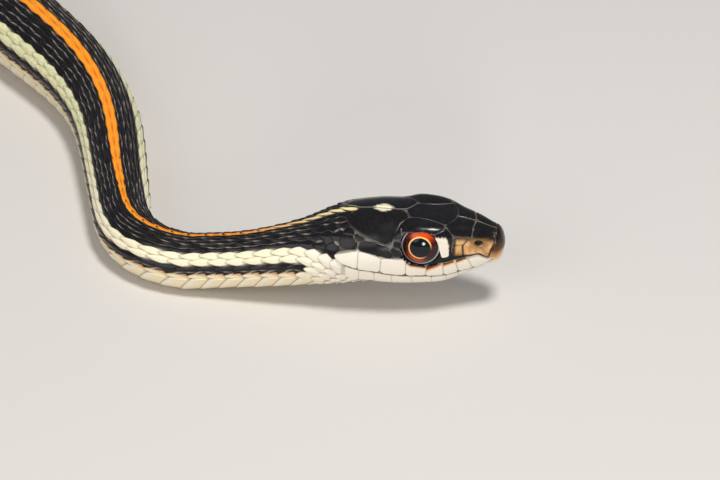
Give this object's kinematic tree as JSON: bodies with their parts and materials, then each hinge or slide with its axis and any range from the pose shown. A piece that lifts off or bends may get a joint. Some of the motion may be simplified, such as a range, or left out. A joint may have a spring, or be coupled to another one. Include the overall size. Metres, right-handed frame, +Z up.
{
  "type": "orange-striped ribbon snake, a slender garter snake",
  "caption": "Life-size still ribbon snake lying on its belly, head raised a little and turned, slim body in loose bends and a long thin tail.",
  "frame": {"origin": "middle of the bounding box, on the ground that the belly lies on", "axes": "+Z up; the snout points towards +X, and the back half and tail run out behind it along Y"},
  "size_m": [0.1472, 0.2038, 0.0111],
  "materials": {
    "head_scales": "glossy dark head plates with pale lip plates",
    "throat_scales": "smooth cream chin and throat scales",
    "body_scales": "black keeled scales with an orange back stripe, cream side stripes and a cream belly",
    "eye": "wet gloss, dark red iris with a thin gold ring round a round black pupil"
  },
  "bodies": {
    "root": {"head": "head_scales", "lower_jaw": "throat_scales", "eye_right": "eye", "eye_left": "eye", "neck": "body_scales", "trunk_1": "body_scales", "trunk_2": "body_scales", "trunk_3": "body_scales", "trunk_4": "body_scales", "trunk_5": "body_scales", "trunk_6": "body_scales", "trunk_7": "body_scales", "tail_1": "body_scales", "tail_2": "body_scales"}
  },
  "joints": []
}
